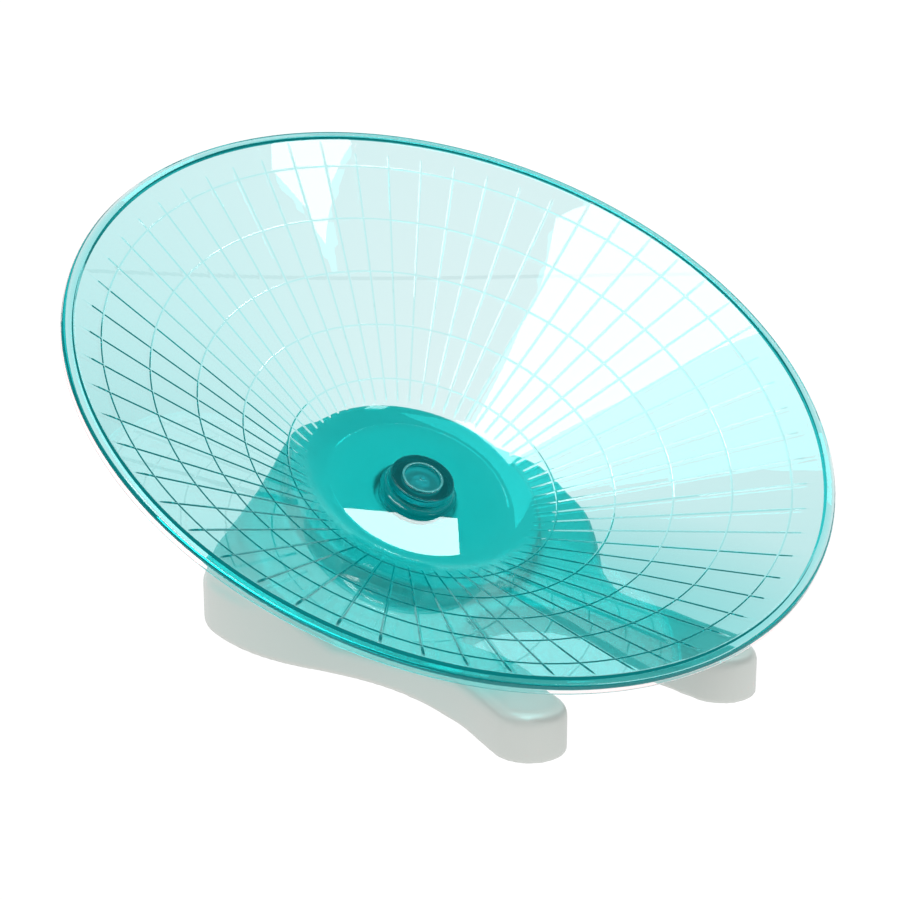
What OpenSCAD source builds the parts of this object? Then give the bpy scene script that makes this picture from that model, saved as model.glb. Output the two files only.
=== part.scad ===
// Running saucer for a hamster: a clear dish that spins on a ball bearing, on a hollow stand.
// Millimetres, +Z up, front of the stand towards -Y. The origin is the middle of the
// footprint of the whole object, at the level that its feet stand on.

/* [Dish] */
// Outer radius of the dish at its rim
disc_r = 150; // [140:1:170]
// Lean of the dish's axis from upright, towards the front
tilt = 29.4; // [22:0.1:31]
// Height of the middle of the rim above the ground
rim_height = 102.6; // [98:0.1:116]
// Depth of the flat floor below the rim plane
dish_depth = 59.4; // [54:0.1:62]
// Slope of the cone that the animal runs on
cone_angle = 29.6; // [27:0.1:31]
// Thickness of the moulded wall
dish_wall = 2; // [1.6:0.1:2.6]
// Width of the flat flange round the rim
flange_w = 5.2; // [4:0.1:8]
// Height of the lip turned down at the rim
lip_h = 3.8; // [3:0.1:6]
// Thickness of the lip
lip_t = 1.2; // [1:0.1:2]
// Height of the flange's inner edge above its outer edge
rim_step = 0.6; // [0.2:0.1:1]
// Radius of the bend between the floor and the cone
floor_bend_r = 24; // [16:1:30]

/* [Grip pattern] */
// Number of straight grip ribs
rib_count = 60; // [36:12:72]
// Width of a grip rib or ring
rib_w = 1; // [0.8:0.1:1.6]
// Height of a grip rib or ring above the cone
rib_h = 0.4; // [0.3:0.1:1]
// Radius of the outermost ring
ring_r = 134.5; // [126:0.5:136]
// Step from one ring to the next
ring_step = 20; // [16:0.5:21]
// Number of rings
ring_count = 5; // [3:1:5]
// How far the ribs run on past the outermost ring
rib_past = 5; // [2:0.5:6]

/* [Hub] */
// Outer radius of the closed boss on the floor
boss_r = 12.8; // [12.4:0.1:15]
// Height of the boss above the floor
boss_h = 5.8; // [5:0.1:8]
// Thickness of the boss's closed top
boss_top = 1.8; // [1.2:0.1:2.2]
// Outer radius of the bearing socket under the floor
socket_r = 15; // [13.6:0.1:16]
// Radius of the room above the bearing for the axle's end
pocket_r = 7; // [6:0.1:8]
// Height of the room above the bearing for the axle's end
pocket_h = 2.4; // [2.2:0.1:3.5]

/* [Bearing] */
// Outside radius of the ball bearing
bearing_r = 11; // [10.8:0.1:11.2]
// Bore radius of the ball bearing
bearing_bore_r = 4; // [3.5:0.1:4.3]
// Height of the ball bearing
bearing_h = 7; // [6.6:0.1:8]
// Diameter of a ball
ball_d = 3.97; // [3.5:0.01:3.97]
// Thickness of a seal
seal_t = 0.5; // [0.3:0.1:0.6]
// Thickness of the spring clips on the axle and in the socket
clip_t = 0.8; // [0.6:0.1:1]

/* [Axle] */
// Height of the spacer washer under the bearing
spacer_h = 2; // [1.6:0.1:3]
// Radius of the axle's flange
flange_r = 7; // [6:0.1:8]
// Thickness of the axle's flange
flange_t = 2; // [1.5:0.1:3]
// Length of the plain shank held in the stand
shank_l = 15; // [10:0.5:18]
// Radius of the threaded end
thread_r = 3; // [2:0.1:3]
// Thickness of the washer under the nut
washer_t = 1.2; // [0.8:0.1:2]
// Height of the nut
nut_h = 5; // [4:0.5:6]
// Width of the nut across its flats
nut_af = 10; // [8:0.1:11]

/* [Stand] */
// Wall thickness of the stand
wall = 2.5; // [2:0.1:3]
// Radius of the round turret under the dish
turret_r = 53; // [46:0.5:55]
// Gap along the axis from the dish's floor to the turret's face
turret_gap = 3.1; // [2.5:0.1:4]
// Height of the turret above the sloping deck
turret_h = 9; // [6:0.5:10]
// Half width of the stand at its widest
half_w = 81.4; // [76:0.2:88]
// Height of the upright skirt round the back
skirt_h = 27; // [25:0.5:29]
// Inset of the arched back from the skirt
shoulder_in = 5.3; // [3:0.1:7]
// Height of the arched back above its foot, at the middle
arch_h = 32.7; // [31:0.1:36]
// How far the two rear corners are cut back at the top
corner_in = 18.5; // [12:0.5:22]
// Lowest height of the two side rails, at the waist
waist_h = 13.5; // [11:0.5:15]
// Height of the two legs
leg_h = 18.5; // [16:0.5:20]
// Radius of the round toes
toe_r = 13.2; // [12.4:0.1:14]
// Distance from the middle line to the centre of a toe
toe_x = 43.3; // [42.6:0.1:45]
// Distance from the rim's middle forward to the centre of a toe
toe_y = 101; // [98:0.5:104]
// Half width of the notch between the legs
notch_w = 27; // [24:0.5:29]

/* [Feet] */
// Radius of a rubber foot
pad_r = 7; // [5:0.1:7.4]
// Thickness of a rubber foot
pad_t = 2; // [1.5:0.1:3]
// How far a rubber foot stands below the stand's walls
pad_proud = 0.8; // [0.5:0.1:1.2]

/* [Hidden] */
$fn = 96;

// Clearances: a turning or sliding fit, a part that only lies in its seat, and room to cut through
fit = 0.02;
seat = 0.1;
cut = 1;

// Middle of the rim in the part's frame. The turned-down lip reaches further back than
// forward, so the whole object is moved forward by half of that to centre its footprint.
rim_edge = 0.5;
rim_y = -(lip_h + rim_edge) * sin(tilt) / 2;

// Levels along the axle, below the rim plane
boss_top_z = -dish_depth + boss_h;
pocket_top_z = boss_top_z - boss_top;
bearing_top_z = pocket_top_z - pocket_h;
bearing_bottom_z = bearing_top_z - bearing_h;
bearing_mid_z = bearing_top_z - bearing_h / 2;
spacer_bottom_z = bearing_bottom_z - spacer_h;
flange_bottom_z = spacer_bottom_z - flange_t;
shank_bottom_z = flange_bottom_z - shank_l;
floor_under_z = -dish_depth - dish_wall;
socket_bottom_z = bearing_bottom_z - clip_t - 1;
turret_top_z = floor_under_z - turret_gap;
deck_z = turret_top_z - turret_h;
axle_boss_bottom_z = shank_bottom_z - wall;
washer_bottom_z = axle_boss_bottom_z - washer_t;
nut_bottom_z = washer_bottom_z - nut_h;
thread_end_z = nut_bottom_z - 1.5;

// Dish: corner where the cone would meet the floor, and the ends of the bend between them
cone_top_r = disc_r - flange_w + 0.7;
cone_foot_r = cone_top_r - dish_depth / tan(cone_angle);
flange_in_r = cone_top_r - 0.6;
bend_len = floor_bend_r * tan(cone_angle / 2);
bend_in_r = cone_foot_r - bend_len;
bend_out_r = cone_foot_r + bend_len * cos(cone_angle);
cone_drop = dish_wall / cos(cone_angle);
rib_root = 0.3;
rib_turn = -0.7;
boss_foot_r = boss_r + 3.2;
recess_r = 7.3;
recess_h = 0.6;
recess_rim = 0.3;
gate_r = 0.9;
gate_h = 0.4;
gusset_angles = [-8.5, -6.4, 102, 104, 171.6, 173.6, 279.5, 281.5];
gusset_t = 0.8;
function cone_z(r) = -(cone_top_r - r) * tan(cone_angle);
// Height and slope of the dish's upper face, which is floor, bend or cone at a radius
function face_z(r) = r >= bend_out_r ? cone_z(r)
    : r <= bend_in_r ? -dish_depth
    : -dish_depth + floor_bend_r - sqrt(pow(floor_bend_r, 2) - pow(r - bend_in_r, 2));
function face_slope(r) = r >= bend_out_r ? cone_angle
    : r <= bend_in_r ? 0
    : asin((r - bend_in_r) / floor_bend_r);

// Bearing: the balls, their path and the rings' shoulders
ball_count = 7;
ball_r = ball_d / 2;
ball_path_r = (bearing_r + bearing_bore_r) / 2;
groove_r = ball_r + 0.06;
shoulder_out_r = ball_path_r + ball_r * 0.7;
shoulder_in_r = ball_path_r - ball_r * 0.7;
cage_out_r = ball_path_r + 0.95;
cage_in_r = ball_path_r - 0.95;
cage_back = ball_r + 0.8;
cage_front = 1.1;
seal_in = 0.1;
clip_out_r = bearing_bore_r + 1.5;
clip_groove = 0.5;
clip_gap = 3;
axle_tip = 0.4;
key_depth = 2.5;
circlip_in_r = bearing_r - 1.5;
circlip_groove = 0.5;

// Stand
bottom_z = pad_proud;
pad_boss_r = pad_r + 1.8;
turret_pocket_r = socket_r + 1.5;
axle_boss_r = bearing_bore_r + 4.5;
web_t = 2;
axle_web_h = 11;
pad_seat_h = 3.5;
back_len = 92;
shoulder_rise = 6;
toe_round = 5.5;
rail_from = 32;
leg_from = 68;
notch_from = 20;
rear_pad_x = half_w - 20;
rear_pad_in = 30;
rear_pad_y = rim_y + back_len - rear_pad_in;

module on_axis() {
    translate([0, rim_y, rim_height])
        rotate([tilt, 0, 0])
            children();
}

module ring(outer, inner, low, high) {
    translate([0, 0, low])
        difference() {
            cylinder(r = outer, h = high - low);
            translate([0, 0, -cut])
                cylinder(r = inner, h = high - low + 2 * cut);
        }
}

// Dish
module dish_section() {
    steps = 8;
    bend = [for (i = [0:steps]) let (a = cone_angle * i / steps)
        [bend_in_r + floor_bend_r * sin(a), -dish_depth + floor_bend_r * (1 - cos(a))]];
    under = [for (i = [steps:-1:0]) let (a = cone_angle * i / steps)
        [bend_in_r + (floor_bend_r + dish_wall) * sin(a),
            -dish_depth + floor_bend_r - (floor_bend_r + dish_wall) * cos(a)]];
    polygon(concat(
        [[0, pocket_top_z], [0, boss_top_z - recess_h], [recess_r, boss_top_z - recess_h],
            [recess_r, boss_top_z + recess_rim], [recess_r + 1, boss_top_z + recess_rim],
            [recess_r + 1, boss_top_z],
            [boss_r - 0.6, boss_top_z], [boss_r, boss_top_z - 0.6], [boss_r + 0.5, -dish_depth + 2.2],
            [boss_r + 1.3, -dish_depth + 0.8], [boss_foot_r, -dish_depth]],
        bend,
        [[flange_in_r, cone_z(flange_in_r)], [flange_in_r, rim_step], [disc_r - rim_edge, 0],
            [disc_r, -rim_edge], [disc_r, -lip_h], [disc_r - lip_t, -lip_h], [disc_r - lip_t, -dish_wall],
            [cone_top_r + (cone_drop - dish_wall) / tan(cone_angle), -dish_wall]],
        under,
        [[socket_r, floor_under_z], [socket_r, socket_bottom_z], [bearing_r + fit, socket_bottom_z],
            [bearing_r + fit, bearing_bottom_z - clip_t - fit],
            [bearing_r + circlip_groove, bearing_bottom_z - clip_t - fit],
            [bearing_r + circlip_groove, bearing_bottom_z], [bearing_r + fit, bearing_bottom_z],
            [bearing_r + fit, bearing_top_z], [pocket_r, bearing_top_z], [pocket_r, pocket_top_z]]
    ));
}

module grip_rings() {
    for (i = [0:ring_count - 1])
        let (r = ring_r - ring_step * i)
            translate([r, face_z(r)])
                rotate(face_slope(r))
                    translate([-rib_w / 2, -rib_root])
                        square([rib_w, rib_h + rib_root]);
}

module grip_ribs() {
    run = (ring_r + rib_past - bend_out_r) / cos(cone_angle);
    for (i = [0:rib_count - 1])
        rotate([0, 0, rib_turn + i * 360 / rib_count])
            translate([bend_out_r, 0, cone_z(bend_out_r)])
                rotate([0, -cone_angle, 0])
                    translate([0, -rib_w / 2, -rib_root])
                        cube([run, rib_w, rib_h + rib_root]);
}

module rim_gussets() {
    for (a = gusset_angles)
        rotate([0, 0, a])
            translate([cone_top_r, -gusset_t / 2, -lip_h])
                cube([disc_r - lip_t - cone_top_r + fit, gusset_t, lip_h - dish_wall + fit]);
}

module running_dish() {
    color([0.1, 0.72, 0.72, 0.5])
        on_axis() {
            rotate_extrude() {
                dish_section();
                grip_rings();
            }
            grip_ribs();
            rim_gussets();
            translate([0, 0, boss_top_z - recess_h - cut])
                cylinder(r = gate_r, h = cut + gate_h);
        }
}

// Ball bearing
module ball_groove() {
    rotate_extrude()
        translate([ball_path_r, 0])
            circle(r = groove_r, $fn = 48);
}

module bearing_outer_ring() {
    color("silver")
        on_axis()
            translate([0, 0, bearing_mid_z])
                difference() {
                    ring(bearing_r, shoulder_out_r, -bearing_h / 2, bearing_h / 2);
                    ball_groove();
                }
}

module bearing_inner_ring() {
    color("silver")
        on_axis()
            translate([0, 0, bearing_mid_z])
                difference() {
                    ring(shoulder_in_r, bearing_bore_r, -bearing_h / 2, bearing_h / 2);
                    ball_groove();
                }
}

module at_ball(number) {
    rotate([0, 0, number * 360 / ball_count])
        translate([ball_path_r, 0, 0])
            children();
}

module bearing_ball(number) {
    color("gainsboro")
        on_axis()
            translate([0, 0, bearing_mid_z])
                at_ball(number)
                    sphere(r = ball_r, $fn = 48);
}

module bearing_cage() {
    color("sienna")
        on_axis()
            translate([0, 0, bearing_mid_z])
                difference() {
                    ring(cage_out_r, cage_in_r, -cage_back, cage_front);
                    for (i = [1:ball_count])
                        at_ball(i)
                            sphere(r = ball_r + 4 * fit, $fn = 48);
                }
}

module bearing_seal() {
    ring(shoulder_out_r - fit, shoulder_in_r + seat, -seal_t, 0);
}

module bearing_seal_upper() {
    color("black")
        on_axis()
            translate([0, 0, bearing_top_z - seal_in])
                bearing_seal();
}

module bearing_seal_lower() {
    color("black")
        on_axis()
            translate([0, 0, bearing_bottom_z + seal_in + seal_t])
                bearing_seal();
}

module bearing_circlip() {
    color("dimgray")
        on_axis()
            translate([0, 0, bearing_bottom_z - clip_t])
                difference() {
                    ring(bearing_r + circlip_groove - fit, circlip_in_r, 0, clip_t);
                    translate([0, -clip_gap, -cut])
                        cube([bearing_r + cut, 2 * clip_gap, clip_t + 2 * cut]);
                }
}

// Axle and what is on it
module axle() {
    color("lightgray")
        on_axis()
            difference() {
                union() {
                    journal_r = bearing_bore_r - fit;
                    translate([0, 0, bearing_top_z + clip_t])
                        cylinder(r = journal_r, h = axle_tip);
                    translate([0, 0, bearing_top_z + clip_t + axle_tip])
                        cylinder(r1 = journal_r, r2 = journal_r - axle_tip, h = axle_tip);
                    translate([0, 0, bearing_top_z - cut])
                        cylinder(r = bearing_bore_r - clip_groove, h = cut + clip_t + axle_tip);
                    translate([0, 0, flange_bottom_z])
                        cylinder(r = journal_r, h = bearing_top_z - flange_bottom_z);
                    translate([0, 0, flange_bottom_z])
                        cylinder(r = flange_r, h = flange_t);
                    translate([0, 0, shank_bottom_z])
                        cylinder(r = journal_r, h = shank_l + cut);
                    translate([0, 0, thread_end_z])
                        cylinder(r = thread_r, h = shank_bottom_z - thread_end_z + cut);
                }
                translate([0, 0, thread_end_z - cut])
                    cylinder(r = thread_r / 2, h = key_depth + cut, $fn = 6);
            }
}

module axle_clip() {
    color("dimgray")
        on_axis()
            translate([0, 0, bearing_top_z])
                difference() {
                    ring(clip_out_r, bearing_bore_r - clip_groove + fit, 0, clip_t - fit);
                    translate([0, -clip_gap / 2, -cut])
                        cube([clip_out_r + cut, clip_gap, clip_t + 2 * cut]);
                }
}

module spacer_washer() {
    color("ivory")
        on_axis()
            ring(shoulder_in_r - 0.3, bearing_bore_r + fit, spacer_bottom_z, bearing_bottom_z);
}

module axle_washer() {
    color("silver")
        on_axis()
            ring(thread_r * 2, thread_r + seat, washer_bottom_z, axle_boss_bottom_z);
}

module axle_nut() {
    color("silver")
        on_axis()
            translate([0, 0, nut_bottom_z])
                difference() {
                    cylinder(r = nut_af / 2 / cos(30), h = nut_h, $fn = 6);
                    translate([0, 0, -cut])
                        cylinder(r = thread_r + fit, h = nut_h + 2 * cut);
                }
}

// Stand: its outline on the ground, from the middle of the back round one side to the
// middle of the notch between the legs. Distances back are from the rim's middle.
side_keys = [
    [-28, back_len - 1], [0, back_len], [28, back_len - 1], [54, back_len - 7],
    [half_w - 10.4, back_len - 17.5], [half_w - 2.1, 60], [half_w, 44],
    [half_w - 1.8, 26], [half_w - 7.4, 9], [64, -9.5], [57, -26], [53.2, -42], [51.9, -60],
    [52.4, -75], [toe_x + toe_r - 1.8, 12 - toe_y], [toe_x + toe_r, 1 - toe_y]
];
function spline_point(a, b, c, d, t) =
    (2 * b + (c - a) * t + (2 * a - 5 * b + 4 * c - d) * t * t + (3 * b - a - 3 * c + d) * t * t * t) / 2;
function spline(keys, steps) = [
    for (i = [1:len(keys) - 3])
        for (s = [0:steps - 1])
            spline_point(keys[i - 1], keys[i], keys[i + 1], keys[i + 2], s / steps)
];
function arc(x, y, r, from, to, steps) = [
    for (i = [0:steps])
        let (a = from + (to - from) * i / steps)
            [x + r * cos(a), y + r * sin(a)]
];
function half_outline() = concat(
    spline(side_keys, 3),
    arc(toe_x, -toe_y, toe_r, 4, -176, 12),
    [[toe_x - toe_r - 1.4, 10 - toe_y], [notch_w + 0.3, 22 - toe_y], [notch_w, 34 - toe_y]],
    arc(0, -notch_from - notch_w, notch_w, 0, 90, 9)
);
function mirrored(points) = [for (i = [len(points) - 2:-1:1]) [-points[i].x, points[i].y]];
function outline() = let (half = half_outline()) concat(half, mirrored(half));
// Moves each point of a closed outline inwards by a distance
function shrunk(points, by) = [
    for (i = [0:len(points) - 1])
        let (n = len(points), along = points[(i + 1) % n] - points[(i + n - 1) % n])
            points[i] + by * [along.y, -along.x] / norm(along)
];

// Height of a plane square to the axle, at a distance back from the rim's middle
function slope_z(level, y) = rim_height + (level + y * sin(tilt)) / cos(tilt);
function slope_y(level, z) = ((z - rim_height) * cos(tilt) - level) / sin(tilt);

// Side view, back view and view along a rear corner of the stand, each drawn in from the
// outside by a distance
module side_view(by) {
    deck = deck_z - by;
    low = waist_h - by;
    high = leg_h - by;
    back = back_len - by;
    polygon(concat(
        [[back + cut, -cut], [back + cut, skirt_h], [back, skirt_h], [back - 6, slope_z(deck, back - 6)],
            [slope_y(deck, low), low], [-rail_from, low], [-(rail_from + leg_from) / 2, (low + high) / 2],
            [-leg_from, high]],
        arc(toe_round - toe_y - toe_r, leg_h - toe_round, toe_round - by, 90, 160, 5),
        [[by - toe_y - toe_r - cut, -cut]]
    ));
}

module back_view(by) {
    a = half_w - shoulder_in - by;
    b = arch_h - by;
    foot = skirt_h + shoulder_rise;
    right = [
        [half_w + cut, -cut], [half_w + cut, skirt_h - 5], [half_w - by, skirt_h - 4],
        [half_w - 1 - by, skirt_h], [a + 1.6, foot - 2.5]
    ];
    polygon(concat(
        right,
        [for (i = [0:6:180]) [a * cos(i), foot + b * sin(i)]],
        [for (i = [len(right) - 1:-1:0]) [-right[i].x, right[i].y]]
    ));
}

module corner_view(by) {
    far = (half_w + back_len - 28) / sqrt(2) - by;
    polygon([
        [-200, -cut], [far + cut, -cut], [far + cut, skirt_h - 6], [far - 0.5, skirt_h - 5],
        [far - 0.25 * corner_in, skirt_h + 1], [far - 0.5 * corner_in, skirt_h + 7.5],
        [far - 0.78 * corner_in, skirt_h + 14.5], [far - corner_in, skirt_h + 21],
        [far - 1.15 * corner_in, skirt_h + 28], [far - corner_in - 8, skirt_h + 60], [-200, skirt_h + 60]
    ]);
}

module stand_form(by, from) {
    translate([0, rim_y, 0])
        intersection() {
            translate([0, 0, from])
                linear_extrude(height = 100)
                    polygon(shrunk(outline(), by));
            translate([-100, 0, 0])
                rotate([90, 0, 90])
                    linear_extrude(height = 200)
                        side_view(by);
            translate([0, 150, 0])
                rotate([90, 0, 0])
                    linear_extrude(height = 300)
                        back_view(by);
            rotate([90, 0, 45])
                translate([0, 0, -200])
                    linear_extrude(height = 400)
                        corner_view(by);
            rotate([90, 0, 135])
                translate([0, 0, -200])
                    linear_extrude(height = 400)
                        corner_view(by);
        }
}

module at_pads() {
    for (side = [-1, 1]) {
        translate([side * toe_x, rim_y - toe_y, 0])
            children();
        translate([side * rear_pad_x, rear_pad_y, 0])
            children();
    }
}

module pad_seats() {
    web_from = bottom_z + 0.4;
    at_pads()
        translate([0, 0, bottom_z])
            cylinder(r = pad_boss_r, h = pad_seat_h);
    for (side = [-1, 1]) {
        translate([side * toe_x, rim_y - toe_y, web_from]) {
            translate([-toe_r + 1, -web_t / 2, 0])
                cube([2 * toe_r - 2, web_t, leg_h - wall - web_from + cut]);
            translate([-web_t / 2, -toe_r + 1, 0])
                cube([web_t, 2 * toe_r + 10, leg_h / 2]);
        }
        translate([side * rear_pad_x, rear_pad_y, web_from]) {
            translate([side < 0 ? -30 : -pad_boss_r, -web_t / 2, 0])
                cube([30 + pad_boss_r, web_t, skirt_h - 8]);
            translate([-web_t / 2, -pad_boss_r, 0])
                cube([web_t, 30 + pad_boss_r, skirt_h - 8]);
        }
    }
}

module axle_webs() {
    reach = turret_r - wall / 2;
    for (i = [0:5])
        rotate([0, 0, i * 60])
            translate([axle_boss_r - 1, -web_t / 2, turret_top_z - wall + 1 - axle_web_h])
                cube([reach - axle_boss_r + 1, web_t, axle_web_h]);
}

module base_shell() {
    color("whitesmoke")
        difference() {
            union() {
                difference() {
                    union() {
                        difference() {
                            stand_form(0, bottom_z);
                            stand_form(wall, -cut);
                        }
                        on_axis()
                            translate([0, 0, deck_z - wall])
                                cylinder(r = turret_r, h = turret_h + wall);
                    }
                    on_axis()
                        translate([0, 0, deck_z - 2 * wall])
                            cylinder(r = turret_r - wall, h = turret_h + wall);
                }
                intersection() {
                    stand_form(wall / 2, bottom_z);
                    pad_seats();
                }
                on_axis() {
                    axle_webs();
                    translate([0, 0, flange_bottom_z - wall])
                        cylinder(r = turret_pocket_r + wall, h = turret_top_z - flange_bottom_z + wall - 0.5);
                    translate([0, 0, axle_boss_bottom_z])
                        cylinder(r = axle_boss_r, h = flange_bottom_z - axle_boss_bottom_z);
                }
            }
            on_axis() {
                translate([0, 0, flange_bottom_z])
                    cylinder(r = turret_pocket_r, h = 20);
                translate([0, 0, shank_bottom_z])
                    cylinder(r = bearing_bore_r, h = shank_l + cut);
                translate([0, 0, axle_boss_bottom_z - cut])
                    cylinder(r = thread_r + seat, h = wall + 2 * cut);
            }
            at_pads()
                translate([0, 0, bottom_z - cut])
                    cylinder(r = pad_r + seat, h = cut + pad_t - pad_proud);
        }
}

module foot_pad(x, y) {
    color("dimgray")
        translate([x, y, 0])
            cylinder(r = pad_r, h = pad_t);
}

module foot_pad_front_left() {
    foot_pad(-toe_x, rim_y - toe_y);
}

module foot_pad_front_right() {
    foot_pad(toe_x, rim_y - toe_y);
}

module foot_pad_rear_left() {
    foot_pad(-rear_pad_x, rear_pad_y);
}

module foot_pad_rear_right() {
    foot_pad(rear_pad_x, rear_pad_y);
}

base_shell();
foot_pad_front_left();
foot_pad_front_right();
foot_pad_rear_left();
foot_pad_rear_right();
axle();
axle_washer();
axle_nut();
spacer_washer();
axle_clip();
bearing_inner_ring();
bearing_cage();
for (i = [1:ball_count])
    bearing_ball(i);
bearing_outer_ring();
bearing_seal_upper();
bearing_seal_lower();
bearing_circlip();
running_dish();
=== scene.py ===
import math

import bpy
import numpy as np
from mathutils import Matrix


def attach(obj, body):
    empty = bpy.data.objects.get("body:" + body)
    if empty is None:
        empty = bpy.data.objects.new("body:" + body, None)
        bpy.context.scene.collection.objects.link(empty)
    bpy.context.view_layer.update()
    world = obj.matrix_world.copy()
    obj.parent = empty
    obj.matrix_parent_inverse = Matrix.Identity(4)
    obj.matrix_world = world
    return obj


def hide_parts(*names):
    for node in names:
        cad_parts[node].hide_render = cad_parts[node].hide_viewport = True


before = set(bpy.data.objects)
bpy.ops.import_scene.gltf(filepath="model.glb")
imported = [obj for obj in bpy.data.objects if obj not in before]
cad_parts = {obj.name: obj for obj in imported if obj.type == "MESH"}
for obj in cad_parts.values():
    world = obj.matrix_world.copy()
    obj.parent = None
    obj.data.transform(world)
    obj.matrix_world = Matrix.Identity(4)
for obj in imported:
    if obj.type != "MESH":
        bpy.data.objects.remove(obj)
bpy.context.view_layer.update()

# Rubber feet
# Four black rubber discs, each pressed in a shallow seat under the stand. Moulded rubber, matt,
# with a fine grain. They are the CAD pieces, given a material here.


def linear(shade):
    """A colour written as sRGB hex, as the linear values that a shader takes."""
    parts = [int(shade[i:i + 2], 16) / 255 for i in (0, 2, 4)]
    return [p / 12.92 if p <= 0.04045 else ((p + 0.055) / 1.055) ** 2.4 for p in parts] + [1.0]


def add(tree, kind, settings=None, **inputs):
    """Adds a node. Settings are its properties; an input is a value or another node's output."""
    made = tree.nodes.new(kind)
    for name, value in (settings or {}).items():
        setattr(made, name, value)
    for name, value in inputs.items():
        key = int(name[1:]) if name[0] == "_" else name.replace("_", " ")
        if isinstance(value, bpy.types.NodeSocket):
            tree.links.new(value, made.inputs[key])
        else:
            made.inputs[key].default_value = value
    return made


def new_material(name):
    """An empty material and its node tree."""
    made = bpy.data.materials.new(name)
    made.use_nodes = True
    made.node_tree.nodes.clear()
    return made, made.node_tree


def grain(tree, vector, size_mm, height_mm, detail=3.0):
    """A bump normal from noise whose blobs are about size_mm across and height_mm high."""
    noise = add(tree, "ShaderNodeTexNoise", Vector=vector, Scale=1000 / size_mm, Detail=detail,
                Roughness=0.55)
    return add(tree, "ShaderNodeBump", Strength=1.0, Distance=height_mm / 1000, Height=noise.outputs["Fac"])


def dress(names, material):
    """Gives CAD nodes a material."""
    for name in names:
        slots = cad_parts[name].data.materials
        slots.clear()
        slots.append(material)


rubber, tree = new_material("Moulded rubber")
where = add(tree, "ShaderNodeTexCoord").outputs["Object"]
bump = grain(tree, where, 0.35, 0.03)
surface = add(tree, "ShaderNodeBsdfPrincipled", Base_Color=linear("26272A"), Roughness=0.72,
              Normal=bump.outputs["Normal"])
add(tree, "ShaderNodeOutputMaterial", Surface=surface.outputs[0])
dress(["foot_pad_front_left", "foot_pad_front_right", "foot_pad_rear_left", "foot_pad_rear_right"], rubber)

# Stand
# One injection moulding in pale grey ABS: two legs with round toes, a waist, a wide domed back, a
# sloping deck and a round turret under the dish. Hollow, open below, with webs round the axle's
# boss. Its surface is worked out as distances on a grid and then skinned. Millimetres.

TILT = math.radians(29.4)
RIM_HEIGHT = 102.6
RIM_Y = -4.3 * math.sin(TILT) / 2
WALL = 2.5
BOTTOM = 0.8
WEB = 1.0
PAD_SEAT = 8.8
PAD_HOLE = 7.1
PAD_HOLE_TOP = 2.0
BOSS = 8.5
SOCKET_WELL = 16.5
AXLE_HOLE = 4.0
THREAD_HOLE = 3.1
WELL_FLOOR = -68.8
HALF_WIDTH = 81.4
BACK = 92.0
TOE = (43.3, -101.0, 13.2)
REAR_PAD = (HALF_WIDTH - 20, 62.0)
TURRET = 53.0
TURRET_TOP = -64.5
DECK = -73.5


def spline(keys, steps):
    """Points on a smooth curve through keys, without the first and last key."""
    out = []
    for a, b, c, d in zip(keys, keys[1:], keys[2:], keys[3:]):
        for t in np.arange(steps) / steps:
            out.append((2 * b + (c - a) * t + (2 * a - 5 * b + 4 * c - d) * t * t
                        + (3 * b - a - 3 * c + d) * t ** 3) / 2)
    return out


def arc(x, y, r, start, end, steps):
    """Points on an arc about x, y from one angle to another, in degrees."""
    turn = np.radians(np.linspace(start, end, steps + 1))
    return [np.array((x + r * math.cos(a), y + r * math.sin(a))) for a in turn]


def stand_outline():
    """The stand's outline on the ground, from the middle of the back round and back."""
    x, y, r = TOE
    keys = [(-28, BACK - 1), (0, BACK), (28, BACK - 1), (54, BACK - 7), (71, BACK - 17.5),
            (HALF_WIDTH - 2.1, 60), (HALF_WIDTH, 44), (HALF_WIDTH - 1.8, 26), (74, 9), (64, -9.5),
            (57, -26), (53.2, -42), (51.9, -60), (52.4, -75), (x + r - 1.8, y + 12), (x + r, y + 1)]
    half = spline([np.array(k, float) for k in keys], 6)
    half += arc(x, y, r, 4, -176, 24)
    half += [np.array(p) for p in ((x - r - 1.4, y + 10), (27.3, y + 22), (27.0, y + 34))]
    half += arc(0, -47, 27, 0, 90, 18)
    return np.array(half + [np.array((-p[0], p[1])) for p in half[-2:0:-1]])


def side_view():
    """The stand seen from its right: distance back, height."""
    def deck(height):
        return ((height - RIM_HEIGHT) * math.cos(TILT) - DECK) / math.sin(TILT)
    return np.array([(BACK + 40, -60), (BACK + 40, 200), (deck(200), 200), (deck(13.5), 13.5),
                     (-32, 13.5), (-50, 16), (-68, 18.5), (-200, 18.5), (-200, -60)])


def back_view():
    """The stand seen from behind: a low upright skirt, a rounded shoulder and a flat arch."""
    right = [(HALF_WIDTH + 30, -60), (HALF_WIDTH + 30, 22), (HALF_WIDTH, 23), (HALF_WIDTH - 1, 27),
             (77.7, 30.5)]
    arch = [(76.1 * math.cos(a), 33 + 32.7 * math.sin(a)) for a in np.radians(np.arange(0, 181, 5))]
    return np.array(right + arch + [(-p[0], p[1]) for p in right[::-1]])


def corner_view():
    """The stand seen along a rear corner, which is cut back towards the top."""
    far = (HALF_WIDTH + BACK - 28) / math.sqrt(2)
    steps = [(0.5, 22), (4.6, 28), (9.3, 34.5), (14.4, 41.5), (18.5, 48), (21.3, 55), (26.5, 87)]
    return np.array([(-400, -60), (far + 30, -60), (far + 30, 21)] + [(far - a, z) for a, z in steps]
                    + [(-400, 87)])


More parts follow.
